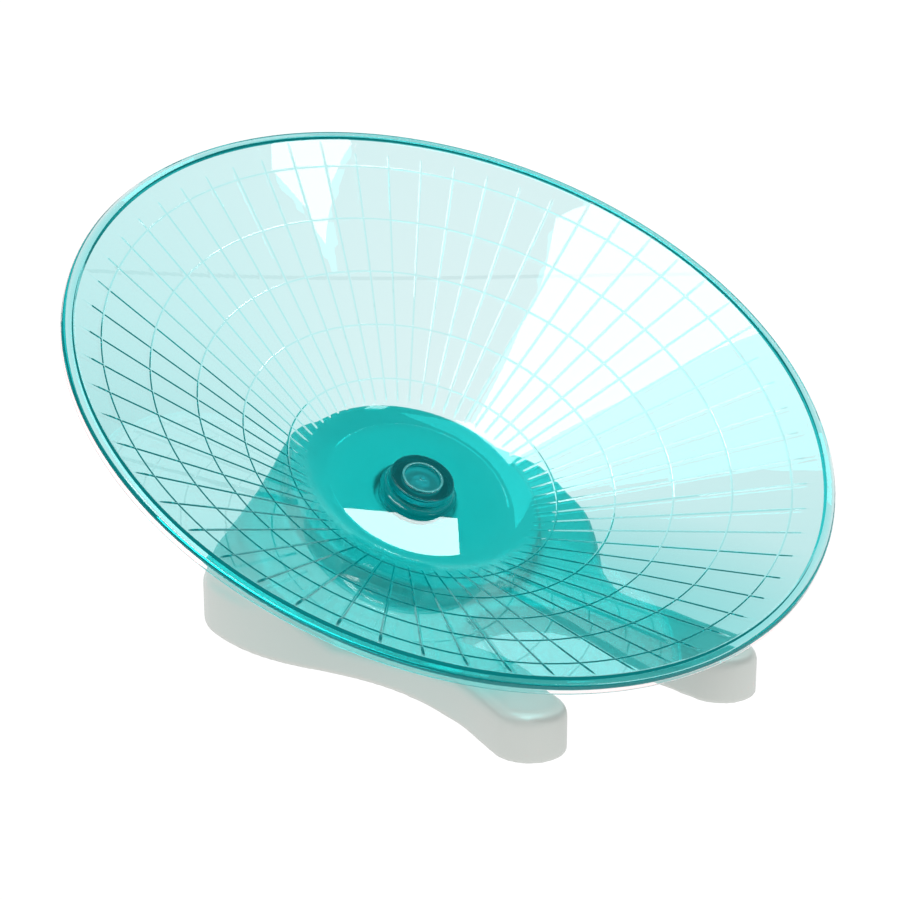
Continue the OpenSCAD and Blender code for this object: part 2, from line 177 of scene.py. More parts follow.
def to_polygon(points, x, y):
    """Signed distance to a closed outline, negative inside."""
    nearest = np.full(x.shape, 1e9)
    inside = np.zeros(x.shape, bool)
    for (ax, ay), (bx, by) in zip(points, np.roll(points, -1, axis=0)):
        ex, ey, wx, wy = bx - ax, by - ay, x - ax, y - ay
        t = np.clip((wx * ex + wy * ey) / (ex * ex + ey * ey + 1e-12), 0, 1)
        nearest = np.minimum(nearest, (wx - t * ex) ** 2 + (wy - t * ey) ** 2)
        inside ^= ((ay > y) != (by > y)) & (x < (bx - ax) * (y - ay) / (by - ay + 1e-12) + ax)
    return np.where(inside, -1, 1) * np.sqrt(nearest)


def both(a, b, r):
    """Where two shapes overlap, with the edge between them rounded to radius r."""
    return np.minimum(np.maximum(a + r, b + r), 0) + np.hypot(np.maximum(a + r, 0), np.maximum(b + r, 0)) - r


def stand_field(step):
    """Signed distances from the stand's surface on a grid, and the grid's lines."""
    xs = np.arange(-HALF_WIDTH - 3, HALF_WIDTH + 3.01, step)
    xs -= xs.mean()
    ys = np.arange(TOE[1] - TOE[2] - 3, BACK + 3.01, step)
    zs = np.arange(BOTTOM - 2 * step, 80, step)
    x, y, z = xs[:, None, None], ys[None, :, None], zs[None, None, :]
    flat = np.meshgrid(xs, ys, indexing="ij")
    plan = to_polygon(stand_outline(), *flat)[:, :, None]
    side = to_polygon(side_view(), *np.meshgrid(ys, zs, indexing="ij"))[None, :, :]
    back = to_polygon(back_view(), *np.meshgrid(xs, zs, indexing="ij"))[:, None, :]
    along = np.arange(-170, 170, step)
    profile = to_polygon(corner_view(), *np.meshgrid(along, zs, indexing="ij"))
    corners = []
    for sign in (1, -1):
        place = np.clip(((sign * flat[0] + flat[1]) / math.sqrt(2) - along[0]) / step, 0, len(along) - 2)
        low = place.astype(int)
        part = (place - low)[..., None]
        corners.append(profile[low] * (1 - part) + profile[low + 1] * part)
    body = both(both(both(plan, side, 5.0), back, 5.0), np.maximum(*corners), 6.0)
    # The rounding makes distances grow too fast in the rear corners, which would thin the wall
    slope = np.sqrt(sum(g ** 2 for g in np.gradient(body, step)))
    body = body / np.maximum(slope, 1)
    v = y * math.cos(TILT) + (z - RIM_HEIGHT) * math.sin(TILT)
    w = (z - RIM_HEIGHT) * math.cos(TILT) - y * math.sin(TILT)
    r = np.hypot(x, v)
    foot = DECK - 12 - w
    turret = np.maximum(both(r - TURRET, w - TURRET_TOP, 2.5), foot)
    room = np.maximum(both(r - TURRET + WALL, w - TURRET_TOP + WALL, 1.5), foot)
    outer = -both(-body, -turret, 3.0)
    inner = -both(-body - WALL, -room, 2.0)
    solid = np.maximum(outer, -inner)
    cup = np.maximum(np.maximum(r - 19, w - TURRET_TOP + 0.5), -71.3 - w)
    boss = np.maximum(np.maximum(r - BOSS, w - WELL_FLOOR), -86.3 - w)
    insides = np.minimum(cup, boss)
    for turn in np.radians((0, 60, 120)):
        across = np.abs(x * math.sin(turn) - v * math.cos(turn)) - WEB
        web = np.maximum(np.maximum(across, r - TURRET + 1), np.maximum(w - TURRET_TOP + 1, -77 - w))
        insides = np.minimum(insides, web)
    seats = [(TOE[0], TOE[1], (-12.2, 12.2), (-12.2, 24.2), 14.5, 10.2),
             (*REAR_PAD, (-9, 30), (-9, 30), 20.2, 20.2)]
    holes = []
    for sign in (-1, 1):
        for px, py, (x0, x1), (y0, y1), high_x, high_y in seats:
            dx, dy = sign * x - px, y - py
            seat = np.maximum(np.hypot(dx, dy) - PAD_SEAT, z - 4.3)
            web_x = np.maximum(np.maximum(np.abs(dy) - WEB, np.maximum(dx - x1, x0 - dx)), z - high_x)
            web_y = np.maximum(np.maximum(np.abs(dx) - WEB, np.maximum(dy - y1, y0 - dy)), z - high_y)
            insides = np.minimum(insides, np.minimum(seat, np.minimum(web_x, web_y)))
            holes.append(np.maximum(np.hypot(dx, dy) - PAD_HOLE, z - PAD_HOLE_TOP))
    insides = np.maximum(np.maximum(insides, inner - 1), outer + 0.8)
    solid = np.maximum(np.minimum(solid, insides), BOTTOM - z)
    solid = both(solid, -np.maximum(r - SOCKET_WELL, WELL_FLOOR - w), 0.8)
    for hole in holes + [np.maximum(r - AXLE_HOLE, -83.8 - w), np.maximum(r - THREAD_HOLE, w + 80)]:
        solid = np.maximum(solid, -hole)
    return (xs, ys, zs), solid


def unpinched(field):
    """Fills the samples beside which two corners of the solid only touch along an edge."""
    for _ in range(12):
        inside = field < 0
        spots = []
        for one, two in ((0, 1), (0, 2), (1, 2)):
            def shifted(a, b):
                part = [slice(None)] * 3
                part[one] = slice(a, field.shape[one] - 1 + a)
                part[two] = slice(b, field.shape[two] - 1 + b)
                return inside[tuple(part)]
            here, across = shifted(0, 0), shifted(1, 1)
            right, left = shifted(1, 0), shifted(0, 1)
            for bad, move in ((here & across & ~right & ~left, 1), (right & left & ~here & ~across, 0)):
                found = np.argwhere(bad)
                found[:, one] += move
                spots.append(found)
        spots = np.concatenate(spots)
        if len(spots) == 0:
            break
        field[tuple(spots.T)] = -0.001
    return field


def skin(lines, field):
    """Corners and four-sided faces of the surface where a field on a grid is zero."""
    inside = field < 0
    size = np.array(field.shape)
    total = np.zeros((*(size - 1), 3))
    count = np.zeros(size - 1)
    ends = []
    for axis in range(3):
        low, high = [slice(None)] * 3, [slice(None)] * 3
        low[axis], high[axis] = slice(0, -1), slice(1, None)
        low, high = tuple(low), tuple(high)
        crossed = inside[low] != inside[high]
        ends.append((low, high))
        share = np.where(crossed, field[low] / np.where(crossed, field[low] - field[high], 1), 0)
        one, two = [i for i in range(3) if i != axis]
        for a in (0, 1):
            for b in (0, 1):
                cell = [slice(None)] * 3
                cell[one], cell[two] = slice(a, size[one] - 1 + a), slice(b, size[two] - 1 + b)
                hit = crossed[tuple(cell)]
                count += hit
                total[..., axis] += share[tuple(cell)]
                total[..., one] += hit * a
                total[..., two] += hit * b
    used = count > 0
    number = np.full(count.shape, -1)
    number[used] = np.arange(used.sum())
    spacing = np.array([line[1] - line[0] for line in lines])
    start = np.array([line[0] for line in lines])
    corners = (np.argwhere(used) + total[used] / count[used][:, None]) * spacing + start
    faces = []
    for axis in range(3):
        low, high = ends[axis]
        one, two = (axis + 1) % 3, (axis + 2) % 3
        edges = np.argwhere(inside[low] != inside[high])
        edges = edges[(edges[:, one] > 0) & (edges[:, two] > 0)
                      & (edges[:, one] < size[one] - 1) & (edges[:, two] < size[two] - 1)]
        four = []
        for a, b in ((0, 0), (-1, 0), (-1, -1), (0, -1)):
            cell = edges.copy()
            cell[:, one] += a
            cell[:, two] += b
            four.append(number[tuple(cell.T)])
        four = np.stack(four, 1)
        turned = inside[high][tuple(edges.T)]
        four[turned] = four[turned][:, ::-1]
        faces.append(four)
    return corners, np.concatenate(faces)


def settle(lines, field, corners, faces, rounds):
    """Evens out a skin's corners and puts them back on the surface where the field is zero."""
    start = np.array([line[0] for line in lines])
    spacing = np.array([line[1] - line[0] for line in lines])
    slopes = np.stack(np.gradient(field, *spacing), -1)
    ends = np.concatenate([faces, np.roll(faces, 1, axis=1)]).ravel()
    others = np.concatenate([np.roll(faces, 1, axis=1), faces]).ravel()
    count = np.bincount(ends, minlength=len(corners))[:, None]

    def read(grid, points):
        place = (points - start) / spacing
        low = np.clip(place.astype(int), 0, np.array(field.shape) - 2)
        part = place - low
        total = 0
        for i in range(8):
            step = np.array([i & 1, i >> 1 & 1, i >> 2])
            share = np.prod(np.where(step, part, 1 - part), axis=1)
            values = grid[tuple((low + step).T)]
            total = total + values * (share if values.ndim == 1 else share[:, None])
        return total

    for _ in range(rounds):
        middle = np.stack([np.bincount(ends, corners[others, i], len(corners)) for i in range(3)], 1) / count
        corners = corners + 0.5 * (middle - corners)
        off = read(field, corners)
        slope = read(slopes, corners)
        length = np.maximum((slope ** 2).sum(1), 0.5)
        corners = corners - np.clip(off / length, -0.4, 0.4)[:, None] * slope
    return corners


lines, field = stand_field(1.25)
field = unpinched(field)
corners, faces = skin(lines, field)
corners = settle(lines, field, corners, faces, 4)
mesh = bpy.data.meshes.new("stand_moulding")
mesh.from_pydata(((corners + [0, RIM_Y, 0]) / 1000).tolist(), [], faces.tolist())
mesh.shade_smooth()
stand = bpy.data.objects.new("stand_moulding", mesh)
bpy.context.scene.collection.objects.link(stand)

stand_plastic, tree = new_material("Pale grey gloss ABS")
where = add(tree, "ShaderNodeTexCoord").outputs["Object"]
bump = grain(tree, where, 7.0, 0.012, 1.0)
patch = add(tree, "ShaderNodeTexNoise", Vector=where, Scale=1000 / 40, Detail=2.0)
shine = add(tree, "ShaderNodeMapRange", Value=patch.outputs["Fac"], To_Min=0.2, To_Max=0.3)
surface = add(tree, "ShaderNodeBsdfPrincipled", Base_Color=linear("CDD1CC"), Roughness=shine.outputs[0],
              IOR=1.53, Normal=bump.outputs["Normal"])
add(tree, "ShaderNodeOutputMaterial", Surface=surface.outputs[0])
mesh.materials.append(stand_plastic)
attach(stand, "stand")
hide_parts("base_shell")

# Axle, washer and nut
# A turned steel pin with a flange, held in the stand's boss by a zinc-plated washer and nut.
# The turning marks run round the axle.


def round_axle(tree):
    """Distance from the axle's middle line and height along it, as a vector for rings."""
    where = add(tree, "ShaderNodeTexCoord").outputs["Object"]
    moved = add(tree, "ShaderNodeVectorMath", {"operation": "SUBTRACT"}, _0=where,
                _1=(0, RIM_Y / 1000, RIM_HEIGHT / 1000))
    turned = add(tree, "ShaderNodeVectorRotate", {"rotation_type": "X_AXIS"}, Vector=moved.outputs[0],
                 Angle=-TILT)
    parts = add(tree, "ShaderNodeSeparateXYZ", Vector=turned.outputs[0])
    flat = add(tree, "ShaderNodeCombineXYZ", X=parts.outputs["X"], Y=parts.outputs["Y"])
    radius = add(tree, "ShaderNodeVectorMath", {"operation": "LENGTH"}, _0=flat.outputs[0])
    return add(tree, "ShaderNodeCombineXYZ", X=radius.outputs["Value"], Z=parts.outputs["Z"]).outputs[0]


def metal(name, shade, roughness, mark_mm, depth_mm):
    """A metal with fine marks that run round the axle."""
    made, tree = new_material(name)
    marks = grain(tree, round_axle(tree), mark_mm, depth_mm, 2.0)
    surface = add(tree, "ShaderNodeBsdfPrincipled", Base_Color=linear(shade), Metallic=1.0,
                  Roughness=roughness, Normal=marks.outputs["Normal"])
    add(tree, "ShaderNodeOutputMaterial", Surface=surface.outputs[0])
    return made


dress(["axle"], metal("Turned steel", "9A9CA0", 0.3, 0.25, 0.01))
dress(["axle_washer", "axle_nut"], metal("Zinc plated steel", "BFC4CC", 0.34, 0.6, 0.008))

# Spacer washer and axle clip
# A washer in natural nylon keeps the bearing off the axle's flange, and a blackened spring clip
# in the axle's groove holds it on.

nylon, tree = new_material("Natural nylon")
bump = grain(tree, add(tree, "ShaderNodeTexCoord").outputs["Object"], 0.8, 0.01)
surface = add(tree, "ShaderNodeBsdfPrincipled", Base_Color=linear("EDEAE0"), Roughness=0.45, IOR=1.53,
              Normal=bump.outputs["Normal"])
add(tree, "ShaderNodeOutputMaterial", Surface=surface.outputs[0])
dress(["spacer_washer"], nylon)
dress(["axle_clip"], metal("Blackened spring steel", "3A3B3F", 0.4, 0.4, 0.01))

# Ball bearing
# A shielded ball bearing of 8 x 22 x 7 mm: ground steel rings, seven polished balls, a brown
# nylon cage that spaces them, a black rubber seal on each face, and the clip below it.

dress(["bearing_inner_ring", "bearing_outer_ring"],
      metal("Black oxide bearing steel", "3C3E42", 0.3, 0.15, 0.004))
dress([f"bearing_ball_{i}" for i in range(1, 8)],
      metal("Polished bearing steel", "E2E4E6", 0.06, 0.5, 0.0005))
dress(["bearing_circlip"], metal("Phosphated spring steel", "44464A", 0.42, 0.4, 0.01))
cage, tree = new_material("Brown cage nylon")
bump = grain(tree, add(tree, "ShaderNodeTexCoord").outputs["Object"], 0.4, 0.01)
surface = add(tree, "ShaderNodeBsdfPrincipled", Base_Color=linear("8A5A35"), Roughness=0.5, IOR=1.53,
              Normal=bump.outputs["Normal"])
add(tree, "ShaderNodeOutputMaterial", Surface=surface.outputs[0])
dress(["bearing_cage"], cage)
seal, tree = new_material("Seal rubber")
bump = grain(tree, round_axle(tree), 0.5, 0.01)
surface = add(tree, "ShaderNodeBsdfPrincipled", Base_Color=linear("101113"), Roughness=0.5,
              Normal=bump.outputs["Normal"])
add(tree, "ShaderNodeOutputMaterial", Surface=surface.outputs[0])
dress(["bearing_seal_upper", "bearing_seal_lower"], seal)

# Dish
# One injection moulding in clear teal polystyrene, 2 mm thick: rim with a turned-down lip, cone
# with 60 ribs and 5 rings for grip, flat floor and a closed boss over the bearing. A section is
# turned round the axle by Geometry Nodes, which also raises the ribs. Millimetres.

RIB_COUNT = 60
RIB_HEIGHT = 0.28
RIB_FOOT = 1.1
RIB_TOP = 0.3
RIB_TURN = -0.7
BEND_END = 46.45
SLOPE = math.radians(29.6)
KEEP_FLAT = 0.12


def rounded(corners):
    """A section with its corners rounded. Each corner is r, z and radius; flats are kept flat."""
    out = []
    points = [np.array(c[:2], float) for c in corners]
    for i, (here, (_, _, radius)) in enumerate(zip(points, corners)):
        if i in (0, len(points) - 1) or radius == 0:
            out.append(here)
            continue
        back, on = points[i - 1] - here, points[i + 1] - here
        back, on = back / np.linalg.norm(back), on / np.linalg.norm(on)
        half = math.acos(np.clip(back @ on, -1, 1)) / 2
        reach = radius / math.tan(half)
        keep = min(KEEP_FLAT, radius)
        middle = here + (back + on) / np.linalg.norm(back + on) * radius / math.sin(half)
        first, last = here + back * reach - middle, here + on * reach - middle
        turn = math.pi - 2 * half
        steps = max(2, round(math.degrees(turn) / 22))
        out.append(here + back * (reach + keep))
        for k in range(steps + 1):
            share = k / steps
            swept = first * math.sin((1 - share) * turn) + last * math.sin(share * turn)
            out.append(middle + swept / math.sin(turn))
        out.append(here + on * (reach + keep))
    return [(p[0], p[1], 0, 0) for p in out]


def dish_section():
    """The wall's section, from the middle of the boss out and back under: r, z, lift, grip."""
    foot = 145.5
    points = rounded([(0, -53.75, 0), (0.9, -53.9, 0.25), (0.95, -54.2, 0.15), (7.3, -54.2, 0.2),
                      (7.35, -53.3, 0.25), (8.25, -53.3, 0.25), (8.35, -53.6, 0.15), (12.8, -53.6, 0.6),
                      (13.4, -59.4, 2.2), (30, -59.4, 0)])[:-1]
    points += [(36.1, -59.4, 0, 0), (36.3, -59.4, 0, 0)]
    turn = np.linspace(math.radians(5), SLOPE, 9)
    starts = np.linspace(math.radians(4.5), SLOPE, 9)[:-1]
    points += [(34.6 + 24 * math.sin(a), -35.4 - 24 * math.cos(a), 0, 0) for a in starts]
    marks = [(BEND_END, 0, 0), (BEND_END + 0.3, 0, 1)]
    for ring in (54.5, 74.5, 94.5, 114.5, 134.5):
        marks += [(ring - 0.5, 0, 1), (ring - 0.4, 0, 1), (ring - 0.15, RIB_HEIGHT, 1),
                  (ring + 0.15, RIB_HEIGHT, 1), (ring + 0.4, 0, 1), (ring + 0.5, 0, 1)]
    marks += [(139.2, 0, 1), (139.5, 0, 0)]
    points += [(r, (r - foot) * math.tan(SLOPE), lift, grip) for r, lift, grip in marks]
    cone = (140, (140 - foot) * math.tan(SLOPE), 0)
    step = (144.9, (144.9 - foot) * math.tan(SLOPE), 0.05)
    points += rounded([cone, step, (145.9, 0.6, 0.15), (149.2, 0.05, 1.0), (150, -0.8, 0.6),
                       (150, -3.8, 0.3), (149.3, -3.8, 0.3), (149.3, -1.6, 0.2), (148.2, -2, 0.3),
                       (146.03, -2, 0.3), (47.7, -57.6, 0)])[1:-1]
    points += [(34.6 + 26 * math.sin(a), -35.4 - 26 * math.cos(a), 0, 0) for a in turn[::-1]]
    points += [(36.3, -61.4, 0, 0), (36.1, -61.4, 0, 0)]
    points += rounded([(30, -61.4, 0), (15, -61.4, 0.6), (15, -66.6, 0.4), (11.02, -66.6, 0),
                       (11.02, -65.62, 0), (11.5, -65.62, 0), (11.5, -64.8, 0), (11.02, -64.8, 0),
                       (11.02, -57.8, 0), (7, -57.8, 0), (7, -55.4, 0), (0, -55.4, 0)])[1:]
    return points


section = dish_section()
mesh = bpy.data.meshes.new("dish_section")
mesh.from_pydata([(r / 1000, 0, z / 1000) for r, z, lift, grip in section],
                 [(i, i + 1) for i in range(len(section) - 1)], [])
for name, place in (("lift", 2), ("grip", 3)):
    values = mesh.attributes.new(name, "FLOAT", "POINT").data
    values.foreach_set("value", [p[place] / (1000 if name == "lift" else 1) for p in section])
dish = bpy.data.objects.new("dish_moulding", mesh)
bpy.context.scene.collection.objects.link(dish)

dish_plastic, tree = new_material("Clear teal polystyrene")
where = add(tree, "ShaderNodeTexCoord").outputs["Object"]
bump = grain(tree, where, 9.0, 0.0008, 1.0)
place = add(tree, "ShaderNodeSeparateXYZ", Vector=round_axle(tree))
near_axle = add(tree, "ShaderNodeMath", {"operation": "LESS_THAN"}, _0=place.outputs["X"], _1=0.0116)
in_socket = add(tree, "ShaderNodeMath", {"operation": "LESS_THAN"}, _0=place.outputs["Z"], _1=-0.0546)
frosted = add(tree, "ShaderNodeMath", {"operation": "MULTIPLY"}, _0=near_axle.outputs[0],
              _1=in_socket.outputs[0])
# Painted shade on the boss top stands in for the dark bearing under it: darker teal over the middle and a
# dark band from 8.25 to 13.1 mm out. Between them the raised ring at 7.35 to 8.25 mm stays paler and lets
# less light through. That paleness is partly the ring's frosted top and partly a painted highlight on its
# rounded edges.
on_top = add(tree, "ShaderNodeMath", {"operation": "GREATER_THAN"}, _0=place.outputs["Z"], _1=-0.0592)
by_radius = add(tree, "ShaderNodeMapRange", Value=place.outputs["X"], From_Max=0.02)
painted_boss_shading = add(tree, "ShaderNodeValToRGB", Fac=by_radius.outputs[0])
ramp = painted_boss_shading.color_ramp
ramp.interpolation = "CONSTANT"
ramp.elements[0].color = (0.3, 0.6, 0.62, 1)
ramp.elements[1].position = 13.1 / 20
ramp.elements[1].color = (1, 1, 1, 1)
for radius, shade in ((7.35, (0.3, 0.85, 0.85, 1)), (8.25, (0.05, 0.28, 0.3, 1))):
    ramp.elements.new(radius / 20).color = shade
boss_top_painted_shade = add(tree, "ShaderNodeMix", {"data_type": "RGBA"}, _0=on_top.outputs[0], _6=(1, 1, 1, 1),
                 _7=painted_boss_shading.outputs["Color"])
at_ring = add(tree, "ShaderNodeMath", {"operation": "COMPARE"}, _0=place.outputs["X"], _1=0.0078, _2=0.00045)
on_ring = add(tree, "ShaderNodeMath", {"operation": "MULTIPLY"}, _0=at_ring.outputs[0], _1=on_top.outputs[0])
see_through = add(tree, "ShaderNodeMapRange", Value=on_ring.outputs[0], To_Min=1.0, To_Max=0.8)
frost = add(tree, "ShaderNodeMath", {"operation": "MULTIPLY"}, _0=frosted.outputs[0], _1=0.3)
surface = add(tree, "ShaderNodeBsdfPrincipled", Base_Color=boss_top_painted_shade.outputs[2],
              Roughness=frost.outputs[0], IOR=1.57, Transmission_Weight=see_through.outputs[0],
              Normal=bump.outputs["Normal"])
# The dish's cast shadow is painted light. Shadow rays through it are multiplied by a set colour: 0.6 in red
# and 1.3 in green and blue over the middle, shifting between 95 and 125 mm out to 2 in red and 1.1 in green
# and blue, so the shadow is paler towards the rim.
outward = add(tree, "ShaderNodeMapRange", Value=place.outputs["X"], From_Min=0.095, From_Max=0.125)
painted_dish_shadow = add(tree, "ShaderNodeMix", {"data_type": "RGBA"}, _0=outward.outputs[0], _6=(0.6, 1.3, 1.3, 1),
             _7=(2.0, 1.1, 1.1, 1))
clear = add(tree, "ShaderNodeBsdfTransparent", Color=painted_dish_shadow.outputs[2])
path = add(tree, "ShaderNodeLightPath")
mixed = add(tree, "ShaderNodeMixShader", _0=path.outputs["Is Shadow Ray"], _1=surface.outputs[0],
            _2=clear.outputs[0])
tint = add(tree, "ShaderNodeVolumeAbsorption", Color=(0.0, 0.8125, 0.815, 1), Density=800.0)
# The plastic's body glows teal. This is painted light that lifts light paths trapped in the walls and ribs
# from black to dark teal.
painted_glow = add(tree, "ShaderNodeEmission", Color=(0.0, 1.0, 1.02, 1), Strength=30.0)
body = add(tree, "ShaderNodeAddShader", _0=tint.outputs[0], _1=painted_glow.outputs[0])
add(tree, "ShaderNodeOutputMaterial", Surface=mixed.outputs[0], Volume=body.outputs[0])

tree = bpy.data.node_groups.new("Dish turned from its section", "GeometryNodeTree")
tree.interface.new_socket("Section", in_out="INPUT", socket_type="NodeSocketGeometry")
tree.interface.new_socket("Geometry", in_out="OUTPUT", socket_type="NodeSocketGeometry")
knobs = {}
for name, kind, value in (
        ("Ribs", "NodeSocketInt", RIB_COUNT), ("Rib height", "NodeSocketFloat", RIB_HEIGHT / 1000),
        ("Rib foot", "NodeSocketFloat", RIB_FOOT / 1000), ("Rib top", "NodeSocketFloat", RIB_TOP / 1000),
        ("Rib turn", "NodeSocketFloat", math.radians(RIB_TURN)),
        ("Flat kept", "NodeSocketFloat", KEEP_FLAT / 1000),
        ("Inner radius", "NodeSocketFloat", BEND_END / 1000), ("Slope", "NodeSocketFloat", SLOPE),
        ("Tilt", "NodeSocketFloat", TILT),
        ("Rim middle", "NodeSocketVector", (0, RIM_Y / 1000, RIM_HEIGHT / 1000)),
        ("Plastic", "NodeSocketMaterial", dish_plastic)):
    knobs[tree.interface.new_socket(name, in_out="INPUT", socket_type=kind).identifier] = value
given = add(tree, "NodeGroupInput").outputs


def sums(kind, a, b=0.0, c=0.0):
    """A sum of one to three values, by the name of its operation."""
    return add(tree, "ShaderNodeMath", {"operation": kind}, _0=a, _1=b, _2=c).outputs[0]


size = add(tree, "GeometryNodeAttributeDomainSize", {"component": "MESH"}, _0=given["Section"])
steps = 8
around = sums("MULTIPLY_ADD", given["Ribs"], steps, 1)
grid = add(tree, "GeometryNodeMeshGrid", Vertices_X=size.outputs["Point Count"], Vertices_Y=around)
index = add(tree, "GeometryNodeInputIndex").outputs[0]
row = sums("FLOOR", sums("DIVIDE", sums("ADD", index, 0.5), around))
column = sums("SUBTRACT", index, sums("MULTIPLY", row, around))
rib = sums("FLOOR", sums("DIVIDE", sums("ADD", column, 0.5), steps))
phase = sums("SUBTRACT", column, sums("MULTIPLY", rib, steps))


def along(kind, field):
    """A field on the section's points, read at this grid point's place along the section."""
    return add(tree, "GeometryNodeSampleIndex", {"data_type": kind, "domain": "POINT"},
               Geometry=given["Section"], Value=field, Index=row).outputs[0]


def named(name):
    """A value kept on the section's points, read along it."""
    kept = add(tree, "GeometryNodeInputNamedAttribute", {"data_type": "FLOAT"}, Name=name)
    return along("FLOAT", kept.outputs[0])


position = add(tree, "GeometryNodeInputPosition")
place = add(tree, "ShaderNodeSeparateXYZ", Vector=along("FLOAT_VECTOR", position.outputs[0]))
lift = named("lift")
grip = named("grip")
inner = sums("MAXIMUM", place.outputs["X"], given["Inner radius"])
half_foot = sums("DIVIDE", sums("MULTIPLY", given["Rib foot"], 0.5), inner)
half_top = sums("DIVIDE", sums("MULTIPLY", given["Rib top"], 0.5), inner)
pitch = sums("DIVIDE", 2 * math.pi, given["Ribs"])
hold = sums("DIVIDE", given["Flat kept"], inner)
on_top = sums("COMPARE", phase, 1.5, 0.6)
offset = add(tree, "GeometryNodeIndexSwitch", {"data_type": "FLOAT"})
for _ in range(6):
    offset.index_switch_items.new()
flat_start = sums("ADD", half_foot, hold)
spots = [sums("MULTIPLY", half_foot, -1), sums("MULTIPLY", half_top, -1), half_top, half_foot, flat_start,
         sums("MULTIPLY", pitch, 0.33), sums("MULTIPLY", pitch, 0.67), sums("SUBTRACT", pitch, flat_start)]
tree.links.new(phase, offset.inputs["Index"])
for i, spot in enumerate(spots):
    tree.links.new(spot, offset.inputs[i + 1])
angle = sums("ADD", sums("MULTIPLY_ADD", rib, pitch, offset.outputs[0]), given["Rib turn"])
raised = sums("MAXIMUM", lift, sums("MULTIPLY", sums("MULTIPLY", grip, on_top), given["Rib height"]))
point = add(tree, "ShaderNodeCombineXYZ",
            X=sums("SUBTRACT", place.outputs["X"], sums("MULTIPLY", raised, sums("SINE", given["Slope"]))),
            Z=sums("MULTIPLY_ADD", raised, sums("COSINE", given["Slope"]), place.outputs["Z"]))
turned = add(tree, "ShaderNodeVectorRotate", {"rotation_type": "Z_AXIS"}, Vector=point.outputs[0],
             Angle=angle)
moved = add(tree, "GeometryNodeSetPosition", Geometry=grid.outputs["Mesh"], Position=turned.outputs[0])
joined = add(tree, "GeometryNodeMergeByDistance", Geometry=moved.outputs[0], Distance=2e-7)
lean = add(tree, "ShaderNodeCombineXYZ", X=given["Tilt"])
leaned = add(tree, "GeometryNodeTransform", Geometry=joined.outputs[0], Rotation=lean.outputs[0],
             Translation=given["Rim middle"])
bend = add(tree, "GeometryNodeInputMeshEdgeAngle").outputs["Unsigned Angle"]
sharp = sums("GREATER_THAN", bend, math.radians(50))
smooth = add(tree, "GeometryNodeSetShadeSmooth", {"domain": "FACE"}, Geometry=leaned.outputs[0],
             Shade_Smooth=True)
creased = add(tree, "GeometryNodeSetShadeSmooth", {"domain": "EDGE"}, Geometry=smooth.outputs[0],
              Selection=sharp, Shade_Smooth=False)
real = add(tree, "GeometryNodeRealizeInstances", Geometry=creased.outputs[0])
dressed = add(tree, "GeometryNodeSetMaterial", Geometry=real.outputs[0], Material=given["Plastic"])
add(tree, "NodeGroupOutput", _0=dressed.outputs[0])

turning = dish.modifiers.new("Turning", "NODES")
turning.node_group = tree
for identifier, value in knobs.items():
    turning[identifier] = value
dish.update_tag()
built = bpy.data.meshes.new_from_object(dish.evaluated_get(bpy.context.evaluated_depsgraph_get()))
dish.modifiers.clear()
dish.data = built
built.name = "dish_moulding"
built.materials.clear()
built.materials.append(dish_plastic)
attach(dish, "dish")
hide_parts("running_dish")

# Studio
# A pale floor, a softbox overhead, one to the right and a narrow one in front, and the camera.
# Floor and surroundings are stronger in red when seen through the dish than directly. A real lamp
# does not do that: it makes the clear walls as pale as wanted while the floor stays deep teal.


def flat_paper(name, shade, low, high):
    """A strip of floor across the camera's view, between two distances behind the dish, in metres."""
    paper, tree = new_material(name)
    path = add(tree, "ShaderNodeLightPath")
    bounced = add(tree, "ShaderNodeMix", {"data_type": "RGBA"}, _0=path.outputs["Is Diffuse Ray"],
                  _6=(0.8, 0.8, 0.8, 1), _7=(1.15, 1.15, 1.15, 1))
    first = add(tree, "ShaderNodeMath", {"operation": "LESS_THAN"}, _0=path.outputs["Diffuse Depth"], _1=0.5)
    spread = add(tree, "ShaderNodeMix", {"data_type": "RGBA"}, _0=first.outputs[0],
                 _6=(0.6, 1.6, 1.6, 1), _7=shade)
    # Painted shadow of the dish on the floor, seen only through the dish: darker teal within 70 mm of the
    # middle, fading out by 170 mm.
    where = add(tree, "ShaderNodeTexCoord").outputs["Object"]
    away = add(tree, "ShaderNodeVectorMath", {"operation": "LENGTH"}, _0=where)
    clear_of_painted_shadow = add(tree, "ShaderNodeMapRange", Value=away.outputs["Value"], From_Min=0.07, From_Max=0.17)
    floor_painted_shadow = add(tree, "ShaderNodeMix", {"data_type": "RGBA"}, _0=clear_of_painted_shadow.outputs[0],
               _6=(0.5, 0.85, 0.85, 1), _7=(1, 1, 1, 1))
    tinted = add(tree, "ShaderNodeMix", {"data_type": "RGBA", "blend_type": "MULTIPLY"}, _0=1.0,
                 _6=spread.outputs[2], _7=floor_painted_shadow.outputs[2])
    through = add(tree, "ShaderNodeMix", {"data_type": "RGBA"}, _0=path.outputs["Is Transmission Ray"],
                  _6=bounced.outputs[2], _7=tinted.outputs[2])
    seen = add(tree, "ShaderNodeMix", {"data_type": "RGBA"}, _0=path.outputs["Is Camera Ray"],
               _6=through.outputs[2], _7=(1.05, 1.05, 1.05, 1))
    white = add(tree, "ShaderNodeEmission", Color=seen.outputs[2], Strength=1.0)
    add(tree, "ShaderNodeOutputMaterial", Surface=white.outputs[0])
    across, away = np.array((0.819, -0.573)), np.array((0.573, 0.819))
    corners = [across * x + away * y for x, y in ((-1.5, low), (1.5, low), (1.5, high), (-1.5, high))]
    mesh = bpy.data.meshes.new(name)
    mesh.from_pydata([(*c, 0) for c in corners], [], [(0, 1, 2, 3)])
    mesh.materials.append(paper)
    made = bpy.data.objects.new(name, mesh)
    bpy.context.scene.collection.objects.link(made)


